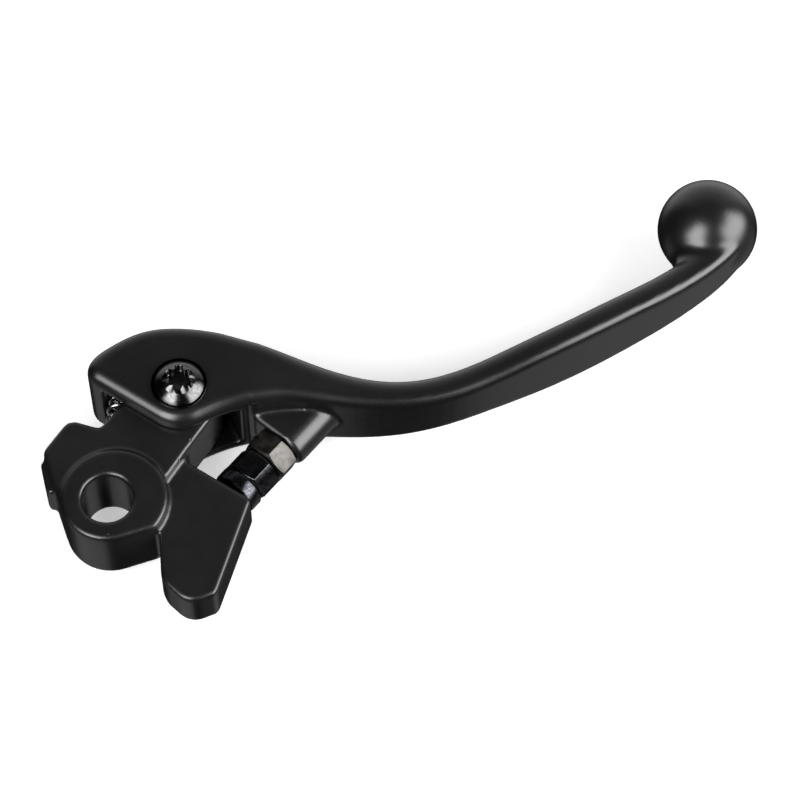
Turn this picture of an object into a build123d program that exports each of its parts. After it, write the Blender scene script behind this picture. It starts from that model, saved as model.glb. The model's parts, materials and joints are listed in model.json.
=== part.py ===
from build123d import *
import os
from math import asin, atan2, cos, degrees, hypot, radians, sin, tan

# Folding clutch lever: a cast knuckle that turns on the perch pivot, and a forged blade with a ball
# end that folds outward on the knuckle about a shoulder bolt, against a small compression spring.
# Origin: centre of the perch pivot bore, at mid-height.  +Z runs along the bore towards the head of
# the fold bolt, +X runs to the centre of the ball, +Y is the side that the fingers reach.

# ---------------------------------------------------------------- driving dimensions (mm, degrees)
PIVOT_BORE_D = 10.0          # perch pivot bolt
BOSS_H = 15.0                # height of the pivot boss
DISC = (1.3, -0.4)           # centre of the raised bearing face round the bore
DISC_R = 10.4
WALL_R = 8.9                 # outer wall of the boss on the bar side
PLATE_H = 13.0               # knuckle plate and tongue
LEG_H = 10.0                 # leg that pushes the master cylinder piston
PAD_H = 8.0                  # low pad on the outer side of the plate
CAST_R = 0.8                 # edge rounding on the knuckle
BORE_RIM_R = 0.6             # and round the pivot bore

FOLD = (22.7, 13.9)          # fold bolt axis
LUG_R = 8.0                  # tongue round the fold bolt
BOLT_D = 6.0
BUSH_D = 9.0
BOLT_HEAD_D = 11.0
BOLT_HEAD_H = 3.0
BOLT_RIM = 0.7               # straight rim of the head
SOCKET_R = 2.45              # six lobe socket
SOCKET_DEPTH = 2.2
FIT = 0.05                   # radial clearance of a running fit
SIDE_GAP = 0.2               # play between the tongue and each cheek

BALL = (134.8, 0.0)
BALL_D = 20.2
NECK_R = 4.0                 # hollow between the ball and the blade
FORK_H = 20.8                # height over the two cheeks
BLADE_R = 2.8                # edge rounding on the blade
NOSE = (11.4, 24.6)          # rounded nose of the fork
NOSE_R = 3.2
FOLD_TRAVEL = 20.0           # fold and reach together
SLOT_PLAY = 0.6              # room round the end of the tongue

SCREW_AXIS = 22.0            # direction of the adjuster, from +X
SEAT = (35.8, -2.5)          # where its axis meets the seat on the blade
NUT_AF = 9.0
NUT_H = 5.1
HEAD_AF = 8.5
HEX_L = 5.6
COLLAR_D = 9.4
COLLAR_L = 2.9
SCREW_D = 6.0
SCREW_DEPTH = 8.5            # thread engaged in the blade
SPOT_R = 5.6                 # spot face round the locknut
BOSS_R = 4.5                 # boss on the blade that carries the adjuster
BOSS_ROOT = 8.0              # width of its flat, from its middle towards the blade
BOSS_L = 14.0                # length that runs into the blade
BOSS_EDGE = 1.2              # rounding of its end
BOSS_OUT = 0.9               # its round side is that far off the adjuster, away from the blade

SPRING_AXIS = 58.0           # direction of the fold spring, from +X
SPRING_MID = (11.8, 19.8)    # a point on its axis
SPRING_D = 5.0
WIRE_D = 0.9
SPRING_BELOW = 5.6           # from that point down to the seat in the knuckle
SPRING_ABOVE = 4.4           # and up to the seat in the blade
SPRING_TURNS = 5
SPRING_PLAY = 0.2            # radial room round it

SLOT_H = PLATE_H + 2 * SIDE_GAP
FAR = 60.0                   # longer than any cut


def polar(centre, radius, angle):
    """A point at a distance and a direction from another."""
    return (centre[0] + radius * cos(radians(angle)), centre[1] + radius * sin(radians(angle)))


def tangent_angle(start, centre, radius, side):
    """Direction of the line from start that touches a circle, on its left (+1) or right (-1)."""
    dx, dy = centre[0] - start[0], centre[1] - start[1]
    return degrees(atan2(dy, dx) + side * asin(radius / hypot(dx, dy)))


def rounded(outline, corners):
    """A closed polygon as a face, with some of its corners rounded."""
    face = make_face(Polyline(*outline, close=True))
    for point, radius in corners:
        corner = face.vertices().sort_by_distance(Vector(*point, 0))[0]
        face = fillet(corner, radius)
    return face


def slab(face, height):
    """A face drawn out equally up and down from mid-height."""
    return extrude(face, amount=height / 2, both=True)


def soft_rims(solid, radius):
    """Round the edges of the flat top and bottom of a slab."""
    rims = solid.faces().sort_by(Axis.Z)[0].outer_wire().edges()
    rims += solid.faces().sort_by(Axis.Z)[-1].outer_wire().edges()
    return fillet(rims, radius)


def along(origin, angle):
    """A place at origin whose Z axis lies flat, in the given direction."""
    return Location(Plane(origin=(*origin, 0), x_dir=(0, 0, 1),
                          z_dir=(cos(radians(angle)), sin(radians(angle)), 0)))


def rod(radius, length):
    """A cylinder that stands on its base."""
    return Cylinder(radius, length, align=(Align.CENTER, Align.CENTER, Align.MIN))


def hexagon_bar(across_flats, length, chamfer_r, turn=0.0):
    """A hexagonal bar from Z 0 up, with both ends turned to a 30 degree cone."""
    bar = extrude(RegularPolygon(across_flats / 2, 6, major_radius=False, rotation=turn), length)
    corner_r = across_flats / 3 ** 0.5
    slope = (corner_r - chamfer_r) * tan(radians(30))
    blank = revolve(make_face(Polyline((0, 0), (chamfer_r, 0), (corner_r, slope),
                                       (corner_r, length - slope), (chamfer_r, length),
                                       (0, length), close=True)).rotate(Axis.X, 90), Axis.Z)
    return bar & blank


# ---------------------------------------------------------------- knuckle
NOTCH = (5.6, 14.9)
CROTCH = (18.3, 2.4)
LEFT_EDGE = tangent_angle(NOTCH, FOLD, LUG_R, 1)
RIGHT_EDGE = tangent_angle(CROTCH, FOLD, LUG_R, -1)


def knuckle_plate():
    """Plate and tongue: one outline from the pivot boss to the lug round the fold bolt."""
    left_touch = polar(FOLD, LUG_R, LEFT_EDGE + 90)
    right_touch = polar(FOLD, LUG_R, RIGHT_EDGE - 90)
    peak, heel, hip = (1.2, 19.5), (-6.5, 15.5), (-8.8, 2.0)
    outline = [NOTCH, left_touch, right_touch, CROTCH, (11.3, -1.6), (0, -4), hip, heel, peak]
    face = rounded(outline, [(NOTCH, 1.2), (CROTCH, 1.0), (heel, 2.4), (peak, 2.6)])
    return soft_rims(slab(face + Pos(*FOLD) * Circle(LUG_R), PLATE_H), CAST_R)


def knuckle_boss():
    """Pivot boss: the raised bearing disc, cut back to the outer wall on the bar side."""
    left = polar((0, 0), WALL_R, 158)
    low = polar((0, 0), WALL_R, -100)
    uncut = make_face(Polyline(left, polar(left, FAR, 158), (FAR, FAR), (FAR, -10.6), (6.4, -10.1), low,
                               (0, 0), close=True))
    disc = Pos(*DISC) * Circle(DISC_R)
    return soft_rims(slab(disc & (Circle(WALL_R) + uncut), BOSS_H), CAST_R)


def knuckle_leg():
    """Leg: its tip pushes the piston and its outer side stops the adjuster head."""
    stop, tip, toe, shin = (24.9, -12.2), (9.8, -26.9), (4.0, -26.3), (1.7, -19.4)
    outline = [(17.6, 1.0), stop, tip, toe, shin, (5.6, -10.8), (6.0, -4.0), (12.0, 3.0), CROTCH]
    face = rounded(outline, [(stop, 1.0), (tip, 1.6), (toe, 4.2), (shin, 5.5)])
    return soft_rims(slab(face, LEG_H), CAST_R)


def knuckle_pad():
    """Low pad on the outer side of the plate."""
    top, low = (-7.6, 14.6), (-9.3, 8.1)
    return slab(rounded([(-4.0, 15.2), top, low, (-8.0, 7.4), (-4.0, 7.4)], [(top, 0.8), (low, 0.8)]),
                PAD_H)


def knuckle():
    """Cast knuckle, bored for the perch pivot, the fold bush and the fold spring."""
    body = knuckle_plate() + knuckle_boss() + knuckle_leg() + knuckle_pad()
    body -= Cylinder(PIVOT_BORE_D / 2, FAR)
    rims = body.edges().filter_by(GeomType.CIRCLE).filter_by(
        lambda e: abs(e.radius - PIVOT_BORE_D / 2) < 0.01)
    body = fillet(rims, BORE_RIM_R)
    body -= Pos(*FOLD) * Cylinder(BUSH_D / 2, FAR)
    seat = polar(SPRING_MID, -SPRING_BELOW, SPRING_AXIS)
    return body - along(seat, SPRING_AXIS) * rod(SPRING_D / 2 + SPRING_PLAY, FAR / 4)


# ---------------------------------------------------------------- blade
# Sections of the blade from the fork to the ball: centre, direction, depth, height, and the edge
# rounding on the bar side and on the finger side.
SECTIONS = [
    (37.2, 10.0, -35, 13.6, 20.8, 2.7, 2.9),
    (41.6, 6.95, -39, 10.8, 20.0, 2.5, 3.1),
    (46.1, 3.6, -40, 8.7, 18.5, 2.2, 3.4),
    (51.2, -0.4, -36, 7.4, 16.8, 2.0, 3.5),
    (59.1, -5.3, -26, 6.5, 14.8, 1.9, 3.6),
    (68.1, -8.4, -13, 6.3, 13.4, 1.9, 3.6),
    (78.0, -9.7, -4, 6.2, 13.8, 1.9, 3.6),
    (88.0, -10.2, -1.5, 6.2, 15.6, 1.9, 3.6),
    (98.0, -10.4, 0, 6.2, 16.2, 1.9, 3.6),
    (108.3, -10.2, 2, 6.2, 15.6, 1.9, 3.6),
    (117.5, -9.8, 4, 6.2, 14.2, 1.9, 3.6),
    (126.3, -8.7, 10, 6.4, 12.8, 1.9, 3.6),
    (133.6, -6.9, 22, 6.4, 11.8, 1.9, 3.6),
    (139.4, -3.6, 48, 5.8, 8.0, 1.9, 3.6),
]


def section(x, y, angle, depth, height, bar_r, finger_r):
    """One upright section of the blade."""
    d, h = depth / 2, height / 2
    face = rounded([(-d, -h), (d, -h), (d, h), (-d, h)],
                   [((-d, -h), bar_r), ((-d, h), bar_r), ((d, -h), finger_r), ((d, h), finger_r)])
    place = Plane(origin=(x, y, 0), x_dir=(-sin(radians(angle)), cos(radians(angle)), 0),
                  z_dir=(cos(radians(angle)), sin(radians(angle)), 0))
    return place * face


def grip():
    """Blade from the fork to the ball, lofted through its sections and blended into the ball."""
    body = loft([section(*s) for s in SECTIONS]) + Pos(*BALL) * Sphere(BALL_D / 2)
    ball = body.faces().filter_by(GeomType.SPHERE)[0]
    return fillet([e for e in ball.edges() if abs(e.center().Z) > 1], NECK_R)


def fork_block():
    """Solid block that the fork is cut from: nose, finger side, bar side and cheeks."""
    x, y, angle, depth, height = SECTIONS[0][:5]
    finger_end = polar((x, y), depth / 2, angle + 90)
    bar_end = polar((x, y), depth / 2, angle - 90)
    base = degrees(atan2(NOSE[1] - FOLD[1], NOSE[0] - FOLD[0]))
    flank = base - degrees(asin((LUG_R - NOSE_R) / hypot(NOSE[0] - FOLD[0], NOSE[1] - FOLD[1])))
    under = polar(FOLD, LUG_R, 270)
    low = polar(FOLD, LUG_R, flank + 90)
    high = polar(NOSE, NOSE_R, flank + 90)
    brow = polar(NOSE, NOSE_R, 145)
    outline = [
        ThreePointArc(high, polar(NOSE, NOSE_R, 178), brow),
        Spline(brow, (14.8, 28.9), (23.4, 28.5), (34.5, 22.1), finger_end,
               tangents=((sin(radians(145)), -cos(radians(145))), (1, -1))),
        Line(finger_end, bar_end),
        Spline(bar_end, (28.6, 5.5), under, tangents=((-1, 0.32), (-1, 0))),
        ThreePointArc(under, polar(FOLD, LUG_R, 237), low),
        Line(low, high),
    ]
    block = slab(make_face(outline), height)
    rims = [e for e in block.edges() if abs(e.center().Z) > 1 and e.center().X < x - 1]
    return fillet(rims, BLADE_R)


def slot_cut():
    """Slot between the cheeks: clears the tongue from the closed to the folded position."""
    clear_r = LUG_R + SLOT_PLAY
    wall = LEFT_EDGE - FOLD_TRAVEL - 1.0
    top = polar(FOLD, clear_r, wall + 90)
    out = polar(top, -30, wall)
    left = make_face(Polyline(top, out, (out[0], -20), (FOLD[0] + clear_r, -20),
                              (FOLD[0] + clear_r, FOLD[1]), FOLD, close=True))
    return slab(left + Pos(*FOLD) * Circle(clear_r), SLOT_H)


def adjuster_boss():
    """Half round boss on the bar side that the adjuster screws into."""
    root = Box(2 * BOSS_R, BOSS_ROOT, 0.7 * BOSS_L, align=(Align.CENTER, Align.MAX, Align.MIN))
    boss = rod(BOSS_R, BOSS_L) + root
    end = boss.faces().sort_by(Axis.Z)[0]
    return along(SEAT, SCREW_AXIS) * Pos(0, BOSS_OUT, 0) * fillet(end.edges(), BOSS_EDGE)


def lever_blade():
    """Forged blade: fork, grip and ball, with the adjuster boss."""
    body = fork_block() + grip() + adjuster_boss()
    body -= slot_cut()
    body -= along(SEAT, SCREW_AXIS + 180) * rod(SPOT_R, 2 * NUT_H)
    body -= along(SEAT, SCREW_AXIS) * Cylinder(SCREW_D / 2 + FIT, 2 * (SCREW_DEPTH + 1.0))
    body -= Pos(*FOLD) * Cylinder(BOLT_D / 2 + FIT, FAR)
    pocket = polar(SPRING_MID, SPRING_ABOVE, SPRING_AXIS)
    return body - along(pocket, SPRING_AXIS + 180) * rod(SPRING_D / 2 + SPRING_PLAY, SPRING_D)


# ---------------------------------------------------------------- fold bolt, bush and spring
def six_lobes():
    """Outline of the six lobe socket."""
    lobes = Circle(SOCKET_R * 0.8)
    for k in range(6):
        lobes += Pos(*polar((0, 0), SOCKET_R * 0.78, 60 * k)) * Circle(SOCKET_R * 0.27)
    return lobes


def fold_bolt():
    """Button head shoulder bolt, threaded into the lower cheek."""
    face, tip, crown = FORK_H / 2, 0.3 - FORK_H / 2, FORK_H / 2 + BOLT_HEAD_H
    shank_r, head_r = BOLT_D / 2, BOLT_HEAD_D / 2
    flat_r = SOCKET_R * 1.15
    rim = (head_r, face + BOLT_RIM)
    profile = make_face([
        Polyline((0, crown), (0, tip), (shank_r - 0.5, tip), (shank_r, tip + 0.5), (shank_r, face),
                 (head_r - 0.2, face), (head_r, face + 0.2), rim),
        ThreePointArc(rim, (head_r * 0.78, face + BOLT_HEAD_H * 0.7), (flat_r, crown)),
        Line((flat_r, crown), (0, crown)),
    ])
    bolt = revolve(profile.rotate(Axis.X, 90), Axis.Z)
    return Pos(*FOLD) * (bolt - Pos(0, 0, crown - SOCKET_DEPTH) * extrude(six_lobes(), BOLT_HEAD_H))


def fold_bush():
    """Plain sleeve that floats in the tongue, round the bolt."""
    sleeve = Cylinder(BUSH_D / 2 - FIT, PLATE_H) - Cylinder(BOLT_D / 2 + FIT, PLATE_H)
    return Pos(*FOLD) * sleeve


def fold_spring():
    """Compression spring between the knuckle and the nose of the blade."""
    length = SPRING_BELOW + SPRING_ABOVE - WIRE_D - 2 * FIT
    mean_r = (SPRING_D - WIRE_D) / 2
    path = Helix(length / SPRING_TURNS, length, mean_r)
    wire = sweep(Plane(origin=path @ 0, z_dir=path % 0) * Circle(WIRE_D / 2), path=path)
    start = polar(SPRING_MID, -SPRING_BELOW + WIRE_D / 2 + FIT, SPRING_AXIS)
    return along(start, SPRING_AXIS) * wire


# ---------------------------------------------------------------- reach adjuster
def adjuster_locknut():
    """Hexagon locknut between the blade and the screw head."""
    nut = hexagon_bar(NUT_AF, NUT_H - 2 * FIT, NUT_AF * 0.47, -15.0)
    nut -= Cylinder(SCREW_D / 2 + FIT, FAR)
    return along(polar(SEAT, -FIT, SCREW_AXIS), SCREW_AXIS + 180) * nut


def adjuster_screw():
    """Hexagon screw with a round collar that rests on the leg of the knuckle."""
    hexagon = hexagon_bar(HEAD_AF, HEX_L, HEAD_AF * 0.47, 30.0)
    collar = Pos(0, 0, HEX_L - 1.0) * rod(COLLAR_D / 2, COLLAR_L + 1.0)
    collar = chamfer(collar.edges().sort_by(Axis.Z)[-1], 0.3)
    shank_l = NUT_H + SCREW_DEPTH
    shank = Pos(0, 0, -shank_l) * rod(SCREW_D / 2, shank_l)
    shank = chamfer(shank.edges().sort_by(Axis.Z)[0], 0.6)
    return along(polar(SEAT, -NUT_H, SCREW_AXIS), SCREW_AXIS + 180) * (hexagon + collar + shank)


PARTS = {
    "knuckle": knuckle,
    "lever_blade": lever_blade,
    "fold_bolt": fold_bolt,
    "fold_bush": fold_bush,
    "fold_spring": fold_spring,
    "adjuster_locknut": adjuster_locknut,
    "adjuster_screw": adjuster_screw,
}

os.makedirs("parts", exist_ok=True)
for name, make in PARTS.items():
    export_step(make(), f"parts/{name}.step")
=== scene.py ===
import bmesh
import bpy
import json
from math import cos, pi, radians, sin
from mathutils import Matrix, Vector


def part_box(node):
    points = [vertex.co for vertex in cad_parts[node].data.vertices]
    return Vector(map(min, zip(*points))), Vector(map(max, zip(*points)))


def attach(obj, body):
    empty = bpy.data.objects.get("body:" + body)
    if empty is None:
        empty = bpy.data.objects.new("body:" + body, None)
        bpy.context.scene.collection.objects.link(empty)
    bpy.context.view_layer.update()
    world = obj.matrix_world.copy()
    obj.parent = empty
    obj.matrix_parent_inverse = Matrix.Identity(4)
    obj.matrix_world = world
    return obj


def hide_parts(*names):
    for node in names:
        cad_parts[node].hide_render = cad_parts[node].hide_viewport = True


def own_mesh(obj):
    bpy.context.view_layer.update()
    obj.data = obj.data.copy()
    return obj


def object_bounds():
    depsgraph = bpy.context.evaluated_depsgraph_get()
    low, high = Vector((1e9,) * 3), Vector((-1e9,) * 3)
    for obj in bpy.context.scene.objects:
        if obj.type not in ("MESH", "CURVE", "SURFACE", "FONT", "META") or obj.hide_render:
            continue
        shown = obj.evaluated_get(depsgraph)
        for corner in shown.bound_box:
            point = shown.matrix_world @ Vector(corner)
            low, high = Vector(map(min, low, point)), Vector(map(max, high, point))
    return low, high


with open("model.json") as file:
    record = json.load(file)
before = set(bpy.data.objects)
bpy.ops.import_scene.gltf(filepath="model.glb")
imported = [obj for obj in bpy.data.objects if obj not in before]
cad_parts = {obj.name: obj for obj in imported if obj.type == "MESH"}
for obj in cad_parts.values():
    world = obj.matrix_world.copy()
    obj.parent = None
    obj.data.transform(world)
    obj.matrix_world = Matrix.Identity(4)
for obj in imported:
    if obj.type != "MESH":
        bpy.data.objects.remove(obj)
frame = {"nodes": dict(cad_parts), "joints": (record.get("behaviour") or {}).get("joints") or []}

CAD_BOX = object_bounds()
NODES = frame["nodes"]
JOINTS = {joint["name"]: joint for joint in frame["joints"]}
UP = Vector((0, 0, 1))

# ---------------------------------------------------------------- sizes in metres, angles in degrees
FINE = 0.0001                   # the smallest edge break and step in a profile
CASTING_VOXEL = 0.0004          # face size of the cast and forged skins
CASTING_ROUNDS = 3              # how often they are eased

NUT_AF = 0.0090                 # locknut, across flats
NUT_TURN = 15                   # how far its corners are turned
HEAD_AF = 0.0085                # adjuster's hexagon, across flats
COLLAR_L = 0.0029               # length of its round collar
COLLAR_R = 0.0047
SCREW_R = 0.0030
THREAD_PITCH = 0.001
SCREW_WAY = Vector(JOINTS["screw_turn"]["axis"]).normalized()
SCREW_SEAT = Vector(JOINTS["screw_turn"]["pos_m"])

BOLT_R = 0.0030
SOCKET_R = 0.00235              # mean radius of the six lobe socket
SOCKET_DEPTH = 0.0021
LOBE_DEPTH = 0.16               # lobes, as a share of that radius
LOBE_WIDTH = 0.03               # and a share that makes them narrower and the ribs between them flatter
DOME_R = 0.0065                 # sphere of the bolt's head
DOME_DROP = 0.0035              # its centre, below the face that the head sits on

WIRE_R = 0.00045
SPRING_WAY = Vector((cos(radians(58)), sin(radians(58)), 0))
SPRING_MIDDLE = Vector((0.0118, 0.0198, 0))
SPRING_ROOM = 0.00095           # free room over the spring, taken up as the reach is set
SPRING_TAPER = 0.14             # the last coils are drawn in by this share, to clear their pocket


# ---------------------------------------------------------------- writing materials
class Flow:
    """A socket in a material's node tree, so that sums on values are plain expressions."""

    def __init__(self, tree, socket=None):
        self.tree = tree
        self.socket = socket

    def node(self, kind, settings=None, inputs=None, out=0):
        """Any node: its settings are set first, then its sockets get values or links."""
        made = self.tree.nodes.new("ShaderNode" + kind)
        for name, setting in (settings or {}).items():
            setattr(made, name, setting)
        for name, value in (inputs or {}).items():
            if isinstance(value, Flow):
                self.tree.links.new(value.socket, made.inputs[name])
            else:
                made.inputs[name].default_value = value
        return Flow(self.tree, made.outputs[out])

    def sum(self, operation, *terms):
        return self.node("Math", {"operation": operation}, dict(enumerate(terms)))

    def __add__(self, other):
        return self.sum("ADD", self, other)

    __radd__ = __add__

    def __sub__(self, other):
        return self.sum("SUBTRACT", self, other)

    def __rsub__(self, other):
        return self.sum("SUBTRACT", other, self)

    def __mul__(self, other):
        return self.sum("MULTIPLY", self, other)

    __rmul__ = __mul__


def grey(level, tint=(1, 1, 1)):
    """A linear colour: a grey, or a tinted one."""
    return (level * tint[0], level * tint[1], level * tint[2], 1)


def start_material(name):
    """A new material, its shader node, and the object's own coordinates."""
    material = bpy.data.materials.new(name)
    material.use_nodes = True
    tree = material.node_tree
    shader = tree.nodes["Principled BSDF"]
    flow = Flow(tree)
    place = flow.node("TexCoord", out="Object")
    return material, shader, flow, place


def plug(shader, **inputs):
    """Set or link the shader's sockets, named with _ for each space."""
    for name, value in inputs.items():
        socket = shader.inputs[name.replace("_", " ")]
        if isinstance(value, Flow):
            value.tree.links.new(value.socket, socket)
        else:
            socket.default_value = value


def noise(flow, place, scale, detail, rough):
    """A value from 0 to 1, mostly near 0.5, with about scale spots to a metre."""
    return flow.node("TexNoise", None, {"Vector": place, "Scale": scale, "Detail": detail,
                                        "Roughness": rough})


def between(flow, value, low, high, to_low, to_high):
    """A value carried from one range to another, and held at its ends."""
    return flow.node("MapRange", {"clamp": True},
                     {0: value, 1: low, 2: high, 3: to_low, 4: to_high})


def blend(flow, amount, first, second):
    """A colour mixed from two."""
    return flow.node("Mix", {"data_type": "RGBA"}, {0: amount, 6: first, 7: second}, 2)


def bumped(flow, height, distance):
    """A normal from a height of 0 to 1, which stands for that distance."""
    return flow.node("Bump", None, {"Height": height, "Distance": distance, "Strength": 1.0})


def satin_black():
    """Black anodised forging: even, slightly grained, with faint cloudy wear in its sheen."""
    material, shader, flow, place = start_material("satin_black")
    grain = noise(flow, place, 5200, 3, 0.6)
    cloud = noise(flow, place, 90, 3, 0.6)
    tone = blend(flow, between(flow, cloud, 0.35, 0.65, 0, 1), grey(0.005), grey(0.006))
    gloss = between(flow, cloud, 0.3, 0.7, 0.27, 0.31) + between(flow, grain, 0.3, 0.7, -0.02, 0.02)
    plug(shader, Base_Color=tone, Roughness=gloss, Normal=bumped(flow, grain, 0.000002),
         Specular_IOR_Level=0.8)
    return material


def cast_black():
    """Black coated casting: satin, with a few pits."""
    material, shader, flow, place = start_material("cast_black")
    grain = noise(flow, place, 4200, 3, 0.6)
    cloud = noise(flow, place, 120, 3, 0.6)
    pits = flow.node("TexVoronoi", {"feature": "F1"}, {"Vector": place, "Scale": 260.0})
    pit = between(flow, pits, 0.03, 0.09, 1, 0)
    tone = blend(flow, between(flow, cloud, 0.35, 0.65, 0, 1), grey(0.005), grey(0.0065))
    gloss = between(flow, cloud, 0.3, 0.7, 0.28, 0.33)
    height = grain * 0.03 - pit
    plug(shader, Base_Color=tone, Roughness=gloss, Normal=bumped(flow, height, 0.00006),
         Specular_IOR_Level=0.8)
    return material


def black_oxide():
    """Glossy black oxide on the bolt, a little uneven."""
    material, shader, flow, place = start_material("black_oxide")
    mottle = noise(flow, place, 1400, 3, 0.6)
    tone = blend(flow, between(flow, mottle, 0.4, 0.65, 0, 1), grey(0.075), grey(0.12, (1.03, 1, 1.02)))
    plug(shader, Base_Color=tone, Metallic=1.0, Roughness=between(flow, mottle, 0.3, 0.7, 0.13, 0.2),
         Normal=bumped(flow, mottle, 0.000002))
    return material


def blued_screw():
    """Blue-black heat finish on the adjuster, grainy, with bright metal showing through in random
    patches.
    """
    material, shader, flow, place = start_material("blued_screw")
    mottle = noise(flow, place, 2600, 4, 0.7)
    cloud = noise(flow, place, 420, 2, 0.5)
    worn = between(flow, mottle, 0.42, 0.62, 0, 1) * between(flow, cloud, 0.35, 0.65, 0.35, 1)
    tone = blend(flow, worn, grey(0.035, (0.95, 0.97, 1.05)), grey(0.13, (0.93, 0.97, 1.1)))
    plug(shader, Base_Color=tone, Metallic=1.0, Roughness=between(flow, cloud, 0.3, 0.7, 0.17, 0.26),
         Normal=bumped(flow, mottle, 0.000006))
    return material


def dull_steel():
    """Brownish dark plating of the locknut."""
    material, shader, flow, place = start_material("dull_steel")
    mottle = noise(flow, place, 900, 4, 0.6)
    tone = blend(flow, between(flow, mottle, 0.35, 0.65, 0, 1), grey(0.06, (1, 0.92, 0.85)),
                 grey(0.1, (1, 0.96, 0.92)))
    plug(shader, Base_Color=tone, Metallic=1.0, Roughness=between(flow, mottle, 0.3, 0.7, 0.26, 0.38),
         Normal=bumped(flow, mottle, 0.00002))
    return material


def spring_steel():
    """Bright drawn spring wire."""
    material, shader, flow, place = start_material("spring_steel")
    mottle = noise(flow, place, 2500, 2, 0.5)
    plug(shader, Base_Color=blend(flow, mottle, grey(0.62), grey(0.82)), Metallic=1.0,
         Roughness=between(flow, mottle, 0.3, 0.7, 0.14, 0.26))
    return material


def bronze():
    """Sintered bronze of the bush."""
    material, shader, flow, place = start_material("bronze")
    mottle = noise(flow, place, 1500, 3, 0.6)
    plug(shader, Base_Color=blend(flow, mottle, (0.33, 0.2, 0.09, 1), (0.48, 0.3, 0.14, 1)),
         Metallic=1.0, Roughness=between(flow, mottle, 0.3, 0.7, 0.3, 0.45))
    return material


def pale_floor():
    """Plain white table."""
    material, shader, flow, place = start_material("pale_floor")
    soft = noise(flow, place, 3, 2, 0.5)
    plug(shader, Base_Color=blend(flow, soft, grey(0.83), grey(0.85)), Roughness=0.7,
         Specular_IOR_Level=0.2, Emission_Color=grey(1.0), Emission_Strength=0.45)
    return material


MATERIALS = {
    "satin_black": satin_black(),
    "cast_black": cast_black(),
    "black_oxide": black_oxide(),
    "blued_screw": blued_screw(),
    "dull_steel": dull_steel(),
    "spring_steel": spring_steel(),
    "bronze": bronze(),
}
FINISH = {
    "knuckle": "cast_black",
    "lever_blade": "satin_black",
    "fold_bolt": "black_oxide",
    "fold_bush": "bronze",
    "fold_spring": "spring_steel",
    "adjuster_locknut": "dull_steel",
    "adjuster_screw": "blued_screw",
}


def dress(obj, material):
    """Give an object one material in all of its slots."""
    if not obj.data.materials:
        obj.data.materials.append(material)
    for k in range(len(obj.data.materials)):
        obj.data.materials[k] = material


for name, finish in FINISH.items():
    dress(NODES[name], MATERIALS[finish])


# ---------------------------------------------------------------- pieces
def new_piece(name, bm, finish, body, replaced, smooth_angle=180):
    """An object from a finished bmesh, in its place, that takes over from a CAD node."""
    mesh = bpy.data.meshes.new(name)
    bm.to_mesh(mesh)
    bm.free()
    obj = bpy.data.objects.new(name, mesh)
    bpy.context.scene.collection.objects.link(obj)
    mesh.materials.append(MATERIALS[finish])
    mesh.shade_smooth()
    mesh.set_sharp_from_angle(angle=radians(smooth_angle))
    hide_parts(replaced)
    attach(obj, body)
    return obj


def with_parts(bm, *parts):
    """One bmesh that takes the others in."""
    for part in parts:
        mesh = bpy.data.meshes.new("part")
        part.to_mesh(mesh)
        part.free()
        bm.from_mesh(mesh)
    return bm


def eased_casting(node):
    """The node's own shape, made again in small even faces and eased, as a cast or forged skin is."""
    rough = bpy.data.objects.new("rough", NODES[node].data.copy())
    bpy.context.scene.collection.objects.link(rough)
    bm = bmesh.new()
    bm.from_mesh(rough.data)
    bmesh.ops.remove_doubles(bm, verts=bm.verts, dist=2e-6)
    bm.to_mesh(rough.data)
    bm.clear()
    grid = rough.modifiers.new("even", "REMESH")
    grid.mode = "VOXEL"
    grid.voxel_size = CASTING_VOXEL
    bpy.context.view_layer.update()
    shape = rough.evaluated_get(bpy.context.evaluated_depsgraph_get())
    bm.from_mesh(shape.to_mesh())
    shape.to_mesh_clear()
    bpy.data.objects.remove(rough)
    for _ in range(CASTING_ROUNDS):
        bmesh.ops.smooth_vert(bm, verts=bm.verts, factor=0.5, use_axis_x=True, use_axis_y=True,
                              use_axis_z=True)
    return bm


def spun(points, steps):
    """A round solid about Z from a profile of (radius, height) that starts and ends on the axis."""
    bm = bmesh.new()
    line = [bm.verts.new((r, 0, z)) for r, z in points]
    for a, b in zip(line, line[1:]):
        bm.edges.new((a, b))
    bmesh.ops.spin(bm, geom=bm.verts[:] + bm.edges[:], cent=(0, 0, 0), axis=(0, 0, 1), angle=2 * pi,
                   steps=steps, use_merge=True)
    bmesh.ops.remove_doubles(bm, verts=bm.verts, dist=1e-7)
    bmesh.ops.recalc_face_normals(bm, faces=bm.faces)
    return bm


def arc(centre, radius, start, end, count):
    """Points of an arc in a profile, in degrees."""
    turns = [radians(start + (end - start) * k / count) for k in range(count + 1)]
    return [(centre[0] + radius * cos(t), centre[1] + radius * sin(t)) for t in turns]


def soft_edges(bm, width):
    """Break the edges of a hexagon that are sharper than its conical ends."""
    edges = [e for e in bm.edges if len(e.link_faces) == 2 and e.calc_face_angle() > radians(22)]
    bmesh.ops.bevel(bm, geom=edges, offset=width, offset_type="OFFSET", affect="EDGES",
                    segments=2, profile=0.5, material=-1, clamp_overlap=True)


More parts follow.
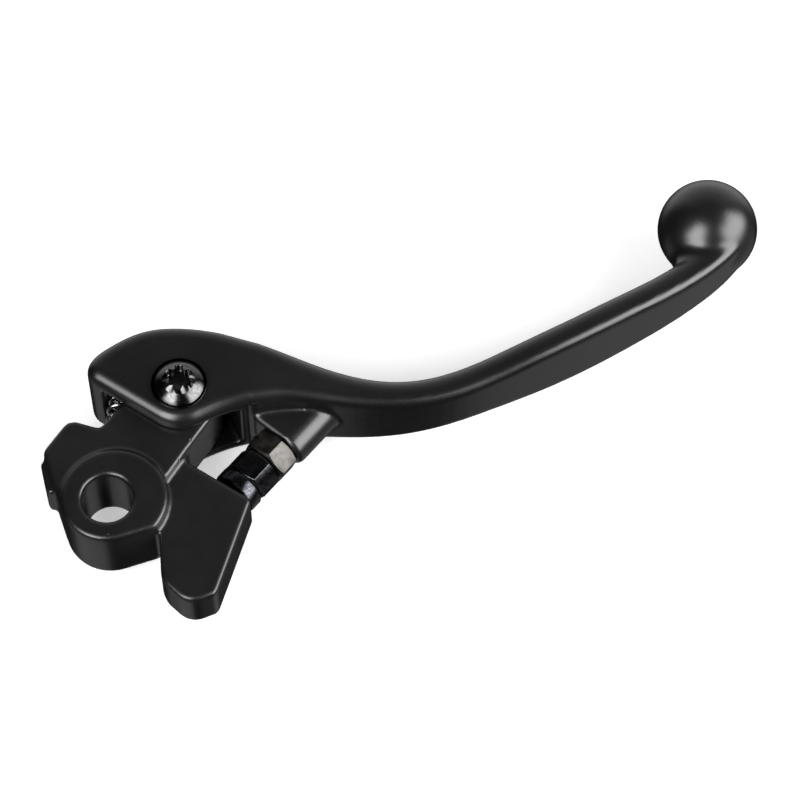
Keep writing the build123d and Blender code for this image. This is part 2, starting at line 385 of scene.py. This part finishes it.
def solid_of(bm, tool, how):
    """The first solid without the second (DIFFERENCE), or where both are (INTERSECT)."""
    things = []
    for name, part in (("body", bm), ("tool", tool)):
        mesh = bpy.data.meshes.new(name)
        part.to_mesh(mesh)
        part.free()
        things.append(bpy.data.objects.new(name, mesh))
        bpy.context.scene.collection.objects.link(things[-1])
    work = things[0].modifiers.new("cut", "BOOLEAN")
    work.operation = how
    work.object = things[1]
    work.solver = "EXACT"
    bpy.context.view_layer.update()
    shape = things[0].evaluated_get(bpy.context.evaluated_depsgraph_get())
    made = bmesh.new()
    made.from_mesh(shape.to_mesh())
    shape.to_mesh_clear()
    for thing in things:
        bpy.data.objects.remove(thing)
    bmesh.ops.dissolve_limit(made, angle_limit=radians(0.5), verts=made.verts, edges=made.edges)
    return made


def hexagon(across_flats, base, length, turn):
    """A hexagonal bar with both ends turned to a shallow cone."""
    corner = across_flats / 3 ** 0.5
    place = Matrix.Translation((0, 0, base + length / 2)) @ Matrix.Rotation(radians(turn), 4, "Z")
    bm = bmesh.new()
    bmesh.ops.create_cone(bm, cap_ends=True, segments=6, radius1=corner, radius2=corner,
                          depth=length, matrix=place)
    face = 0.46 * across_flats      # radius of the flat end
    far = 1.1 * corner              # anywhere beyond the corners
    rise = 0.55 * (far - face)      # of the cone, from the flat end out to there
    blank = spun([(0, base), (face, base), (far, base + rise), (far, base + length - rise),
                  (face, base + length), (0, base + length)], 96)
    return solid_of(bm, blank, "INTERSECT")


def lay_along(bm, start, way):
    """Lay a piece made about Z along a level line, its own X straight up."""
    turned = Matrix((UP, way.cross(UP), way)).transposed().to_4x4()
    bmesh.ops.transform(bm, verts=bm.verts, matrix=Matrix.Translation(start) @ turned)


def reach(node, start=SCREW_SEAT, way=SCREW_WAY):
    """How far a node runs along a line, by default the adjuster's, as lowest and highest."""
    shape = NODES[node]
    runs = [(shape.matrix_world @ v.co - start).dot(way) for v in shape.data.vertices]
    return min(runs), max(runs)


def locknut():
    """Hexagon locknut, its bore chamfered, one corner a little off the top."""
    low, high = reach("adjuster_locknut")
    wide = SCREW_R + 9 * FINE
    bm = hexagon(NUT_AF, low, high - low, NUT_TURN)
    bore = spun([(0, low - 10 * FINE), (wide, low - 10 * FINE), (SCREW_R, low + 3 * FINE),
                 (SCREW_R, high - 3 * FINE), (wide, high + 10 * FINE), (0, high + 10 * FINE)], 64)
    bm = solid_of(bm, bore, "DIFFERENCE")
    soft_edges(bm, 1.2 * FINE)
    lay_along(bm, SCREW_SEAT, SCREW_WAY)
    new_piece("locknut", bm, "dull_steel", "locknut_body", "adjuster_locknut", 35)


def threaded(low, high, radius, pitch):
    """A closed shank with a rolled thread on it."""
    turns = int((high - low) / pitch) - 1
    steps = 32
    root = radius - 0.55 * pitch
    tooth = [(root, 0.0), (root, 0.12), (radius, 0.44), (radius, 0.56), (root, 0.88), (root, 1.0)]
    bm = bmesh.new()
    line = [bm.verts.new((r, 0, low + share * pitch)) for r, share in tooth]
    for a, b in zip(line, line[1:]):
        bm.edges.new((a, b))
    bmesh.ops.spin(bm, geom=bm.verts[:] + bm.edges[:], cent=(0, 0, 0), axis=(0, 0, 1),
                   angle=2 * pi * turns, steps=steps * turns, dvec=(0, 0, pitch / steps))
    bmesh.ops.remove_doubles(bm, verts=bm.verts, dist=1e-7)
    core_r = root + 2 * FINE
    core = spun([(0, low - 3 * FINE), (core_r - 3 * FINE, low - 3 * FINE), (core_r, low),
                 (core_r, high), (0, high)], 48)
    with_parts(bm, core)
    bmesh.ops.holes_fill(bm, edges=[e for e in bm.edges if e.is_boundary], sides=0)
    bmesh.ops.recalc_face_normals(bm, faces=bm.faces)
    return bm


def screw():
    """Adjuster screw: threaded shank, hexagon with coned ends and a round collar."""
    tip, end = reach("adjuster_screw")
    nut_end = reach("adjuster_locknut")[1] + 0.5 * FINE
    hex_end = end - COLLAR_L
    bm = hexagon(HEAD_AF, nut_end, hex_end - nut_end, 0)
    soft_edges(bm, 1.3 * FINE)
    collar = spun([(0, hex_end - 2 * FINE), (COLLAR_R - 6 * FINE, hex_end - 2 * FINE),
                   (COLLAR_R - FINE, hex_end + 2 * FINE), (COLLAR_R, hex_end + 4 * FINE),
                   (COLLAR_R, end - 4 * FINE), (COLLAR_R - FINE, end - FINE),
                   (COLLAR_R - 4 * FINE, end), (0, end)], 96)
    with_parts(bm, collar, threaded(tip, nut_end + 2 * FINE, SCREW_R, THREAD_PITCH))
    lay_along(bm, SCREW_SEAT, SCREW_WAY)
    new_piece("adjuster", bm, "blued_screw", "screw_body", "adjuster_screw", 35)


def bolt():
    """Button head bolt with a six lobe socket."""
    low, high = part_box("fold_bolt")
    face, crown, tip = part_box("lever_blade")[1][2], high[2], low[2]
    middle = ((low[0] + high[0]) / 2, (low[1] + high[1]) / 2, 0)
    rim = (high[0] - low[0]) / 2
    deep = crown - SOCKET_DEPTH
    profile = [(0, deep - 3 * FINE), (10 * FINE, deep), (SOCKET_R - FINE, deep),
               (SOCKET_R, deep + FINE), (SOCKET_R, crown - 3 * FINE),
               (SOCKET_R + 0.3 * FINE, crown - 1.2 * FINE), (SOCKET_R + FINE, crown - 0.4 * FINE)]
    profile += arc((0, face - DOME_DROP), DOME_R, 61, 34, 12)
    profile += [(rim - FINE, face + 8 * FINE), (rim, face + 6 * FINE), (rim, face + 2 * FINE),
                (rim - 2 * FINE, face), (BOLT_R, face), (BOLT_R, tip + 6 * FINE),
                (BOLT_R - 5 * FINE, tip), (0, tip)]
    bm = spun(profile, 120)
    for v in bm.verts:
        out = Vector((v.co.x, v.co.y))
        if 15 * FINE < out.length < SOCKET_R + 2 * FINE and v.co.z > deep - 2 * FINE:
            turn = Vector((1, 0)).angle_signed(out.normalized(), 0)
            gain = 1 + LOBE_DEPTH * cos(6 * turn) - LOBE_WIDTH * cos(12 * turn)
            v.co.x *= gain
            v.co.y *= gain
    bmesh.ops.translate(bm, verts=bm.verts, vec=middle)
    new_piece("bolt", bm, "black_oxide", "blade_body", "fold_bolt", 30)


def spring():
    """Compression spring with closed ends, drawn at rest in its pocket in the knuckle; nothing here
    squeezes it as the blade folds.
    """
    low, high = reach("fold_spring", SPRING_MIDDLE, SPRING_WAY)
    high -= SPRING_ROOM
    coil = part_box("fold_spring")[1][2] - WIRE_R
    closed = 2.05 * WIRE_R          # rise of a closed end turn
    bm = bmesh.new()
    start = Matrix.Translation((coil, 0, low + WIRE_R)) @ Matrix.Rotation(pi / 2, 4, "X")
    bmesh.ops.create_circle(bm, cap_ends=False, radius=WIRE_R, segments=14, matrix=start)
    last = bm.verts[:] + bm.edges[:]
    for turns, rise in ((1, closed), (3, high - low - 2 * WIRE_R - 2 * closed), (1, closed)):
        steps = 40 * turns
        made = bmesh.ops.spin(bm, geom=last, cent=(0, 0, 0), axis=(0, 0, 1), angle=2 * pi * turns,
                              steps=steps, dvec=(0, 0, rise / steps))
        last = made["geom_last"]
    bmesh.ops.holes_fill(bm, edges=[e for e in bm.edges if e.is_boundary], sides=0)
    bmesh.ops.recalc_face_normals(bm, faces=bm.faces)
    for v in bm.verts:
        drawn_in = 1 - SPRING_TAPER * max(0, v.co.z / high)
        v.co.x *= drawn_in
        v.co.y *= drawn_in
    lay_along(bm, SPRING_MIDDLE, SPRING_WAY)
    obj = new_piece("spring", bm, "spring_steel", "knuckle_body", "fold_spring", 40)
    seat = SPRING_MIDDLE + low * SPRING_WAY
    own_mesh(obj)


bolt()
spring()
locknut()
screw()
new_piece("knuckle_casting", eased_casting("knuckle"), "cast_black", "knuckle_body", "knuckle")
new_piece("blade_forging", eased_casting("lever_blade"), "satin_black", "blade_body", "lever_blade")


# ---------------------------------------------------------------- floor, light and camera
AIM_AT = Vector((0.0615, -0.0047, 0.0))
ELEVATION = 62.3
AZIMUTH = -28.4
DISTANCE = 0.700
FOCAL = 3545.5 / 800           # focal length over the width of the frame
SENSOR = 36.0                  # width of the frame in millimetres
FLOOR_GAP = 0.0002             # between the lever and the table
FRONT = Vector((sin(radians(AZIMUTH)), -cos(radians(AZIMUTH)), 0))
RIGHT = Vector((cos(radians(AZIMUTH)), sin(radians(AZIMUTH)), 0))


def floor():
    """A wide pale table just under the lever, which lights nothing."""
    mesh = bpy.data.meshes.new("floor")
    obj = bpy.data.objects.new("floor", mesh)
    bpy.context.scene.collection.objects.link(obj)
    bm = bmesh.new()
    bmesh.ops.create_grid(bm, x_segments=8, y_segments=8, size=3.0)
    bmesh.ops.translate(bm, verts=bm.verts, vec=(0, 0, CAD_BOX[0][2] - FLOOR_GAP))
    bm.to_mesh(mesh)
    bm.free()
    mesh.materials.append(pale_floor())
    obj.visible_glossy = False
    obj.visible_diffuse = False


def camera():
    """A long lens that looks down on the lever from its bar side."""
    data = bpy.data.cameras.new("camera")
    obj = bpy.data.objects.new("camera", data)
    bpy.context.scene.collection.objects.link(obj)
    high = radians(ELEVATION)
    way_back = cos(high) * FRONT + sin(high) * UP
    obj.location = AIM_AT + DISTANCE * way_back
    obj.rotation_euler = (-way_back).to_track_quat("-Z", "Y").to_euler()
    data.sensor_width = SENSOR
    data.lens = SENSOR * FOCAL
    data.clip_start = 0.01
    data.clip_end = 20
    bpy.context.scene.camera = obj


def panel(flow, turn, height, turns, heights, soft):
    """1 inside a window of the room, given in degrees of turn and height, fading out around it."""
    edges = [(turn, turns[0], 1), (turn, turns[1], -1),
             (height, heights[0], 1), (height, heights[1], -1)]
    inside = 1
    for angle, edge, way in edges:
        fade = {0: angle, 1: edge - way * soft, 2: edge + way * soft, 3: 0, 4: 1}
        inside = inside * flow.node("MapRange", {"clamp": True,
                                                 "interpolation_type": "SMOOTHSTEP"}, fade)
    return inside


def studio():
    """A dark room with two large soft panels in front, a pale wall behind and pale sides below.

    Turns run from the camera's side, to the right; the wall's run from straight behind the lever."""
    world = bpy.data.worlds.new("room")
    world.use_nodes = True
    tree = world.node_tree
    flow = Flow(tree)
    look = flow.node("TexCoord", out="Generated")
    ahead = flow.node("VectorMath", {"operation": "DOT_PRODUCT"}, {0: look, 1: FRONT}, "Value")
    aside = flow.node("VectorMath", {"operation": "DOT_PRODUCT"}, {0: look, 1: RIGHT}, "Value")
    up = flow.node("SeparateXYZ", None, {0: look}, "Z")
    turn = flow.sum("DEGREES", flow.sum("ARCTAN2", aside, ahead))
    back_turn = flow.sum("DEGREES", flow.sum("ARCTAN2", aside, ahead * -1))
    height = flow.sum("DEGREES", flow.sum("ARCSINE", up))
    light = 0.012
    light = light + 7.5 * panel(flow, turn, height, (-58, -16), (18, 62), 9)
    light = light + 6.5 * panel(flow, turn, height, (42, 108), (5, 50), 10)
    wall = between(flow, height, -10, 58, 0.9, 0.05)
    light = light + wall * panel(flow, back_turn, height, (-48, 48), (-30, 75), 14)
    below = between(flow, height, -80, -25, 0.36, 0.14)
    light = light + below * panel(flow, turn, height, (-95, -12), (-120, -20), 6)
    light = light + below * panel(flow, turn, height, (48, 112), (-120, -20), 8)
    seen = flow.node("LightPath", out="Is Camera Ray")
    room = tree.nodes["Background"]
    tree.links.new(blend(flow, seen, light, grey(1.0)).socket, room.inputs["Color"])
    bpy.context.scene.world = world
    bpy.context.scene.view_settings.view_transform = "Standard"
    bpy.context.scene.view_settings.look = "None"


floor()
camera()
studio()
